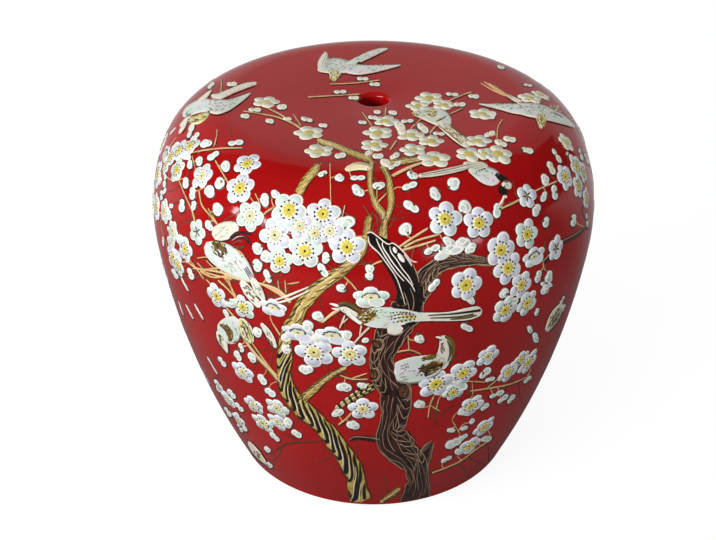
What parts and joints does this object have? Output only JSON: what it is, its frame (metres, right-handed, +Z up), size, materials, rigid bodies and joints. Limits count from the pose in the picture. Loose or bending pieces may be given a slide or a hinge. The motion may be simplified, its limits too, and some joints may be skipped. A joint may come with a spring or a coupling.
{
  "type": "ceramic garden stool",
  "caption": "Low round glazed ceramic garden stool with a flat seat, central finger hole, full shoulder, tapering flank and open foot, painted with blossom branches and small birds.",
  "frame": {"origin": "centre of the foot, on the surface that the stool stands on, under its felt pads", "axes": "+Z up through the finger hole, the axis that the stool was thrown round; -Y faces the side with the two painted trunks"},
  "size_m": [0.4, 0.4, 0.352],
  "materials": {
    "red_glaze": "gloss",
    "bare_clay": "matte",
    "felt": "matte",
    "white_enamel": "gloss",
    "yellow_enamel": "gloss",
    "brown_enamel": "gloss",
    "gold_enamel": "gloss"
  },
  "bodies": {
    "root": {"seat_slab": "red_glaze", "upper_wall": "red_glaze", "middle_wall": "red_glaze", "lower_wall": "red_glaze", "foot_ring": "red_glaze", "seat_slip": "bare_clay", "belly_slip": "bare_clay", "flank_slip": "bare_clay", "foot_slip": "bare_clay", "foot_pad_1": "felt", "foot_pad_2": "felt", "foot_pad_3": "felt", "foot_pad_4": "felt"}
  },
  "joints": []
}
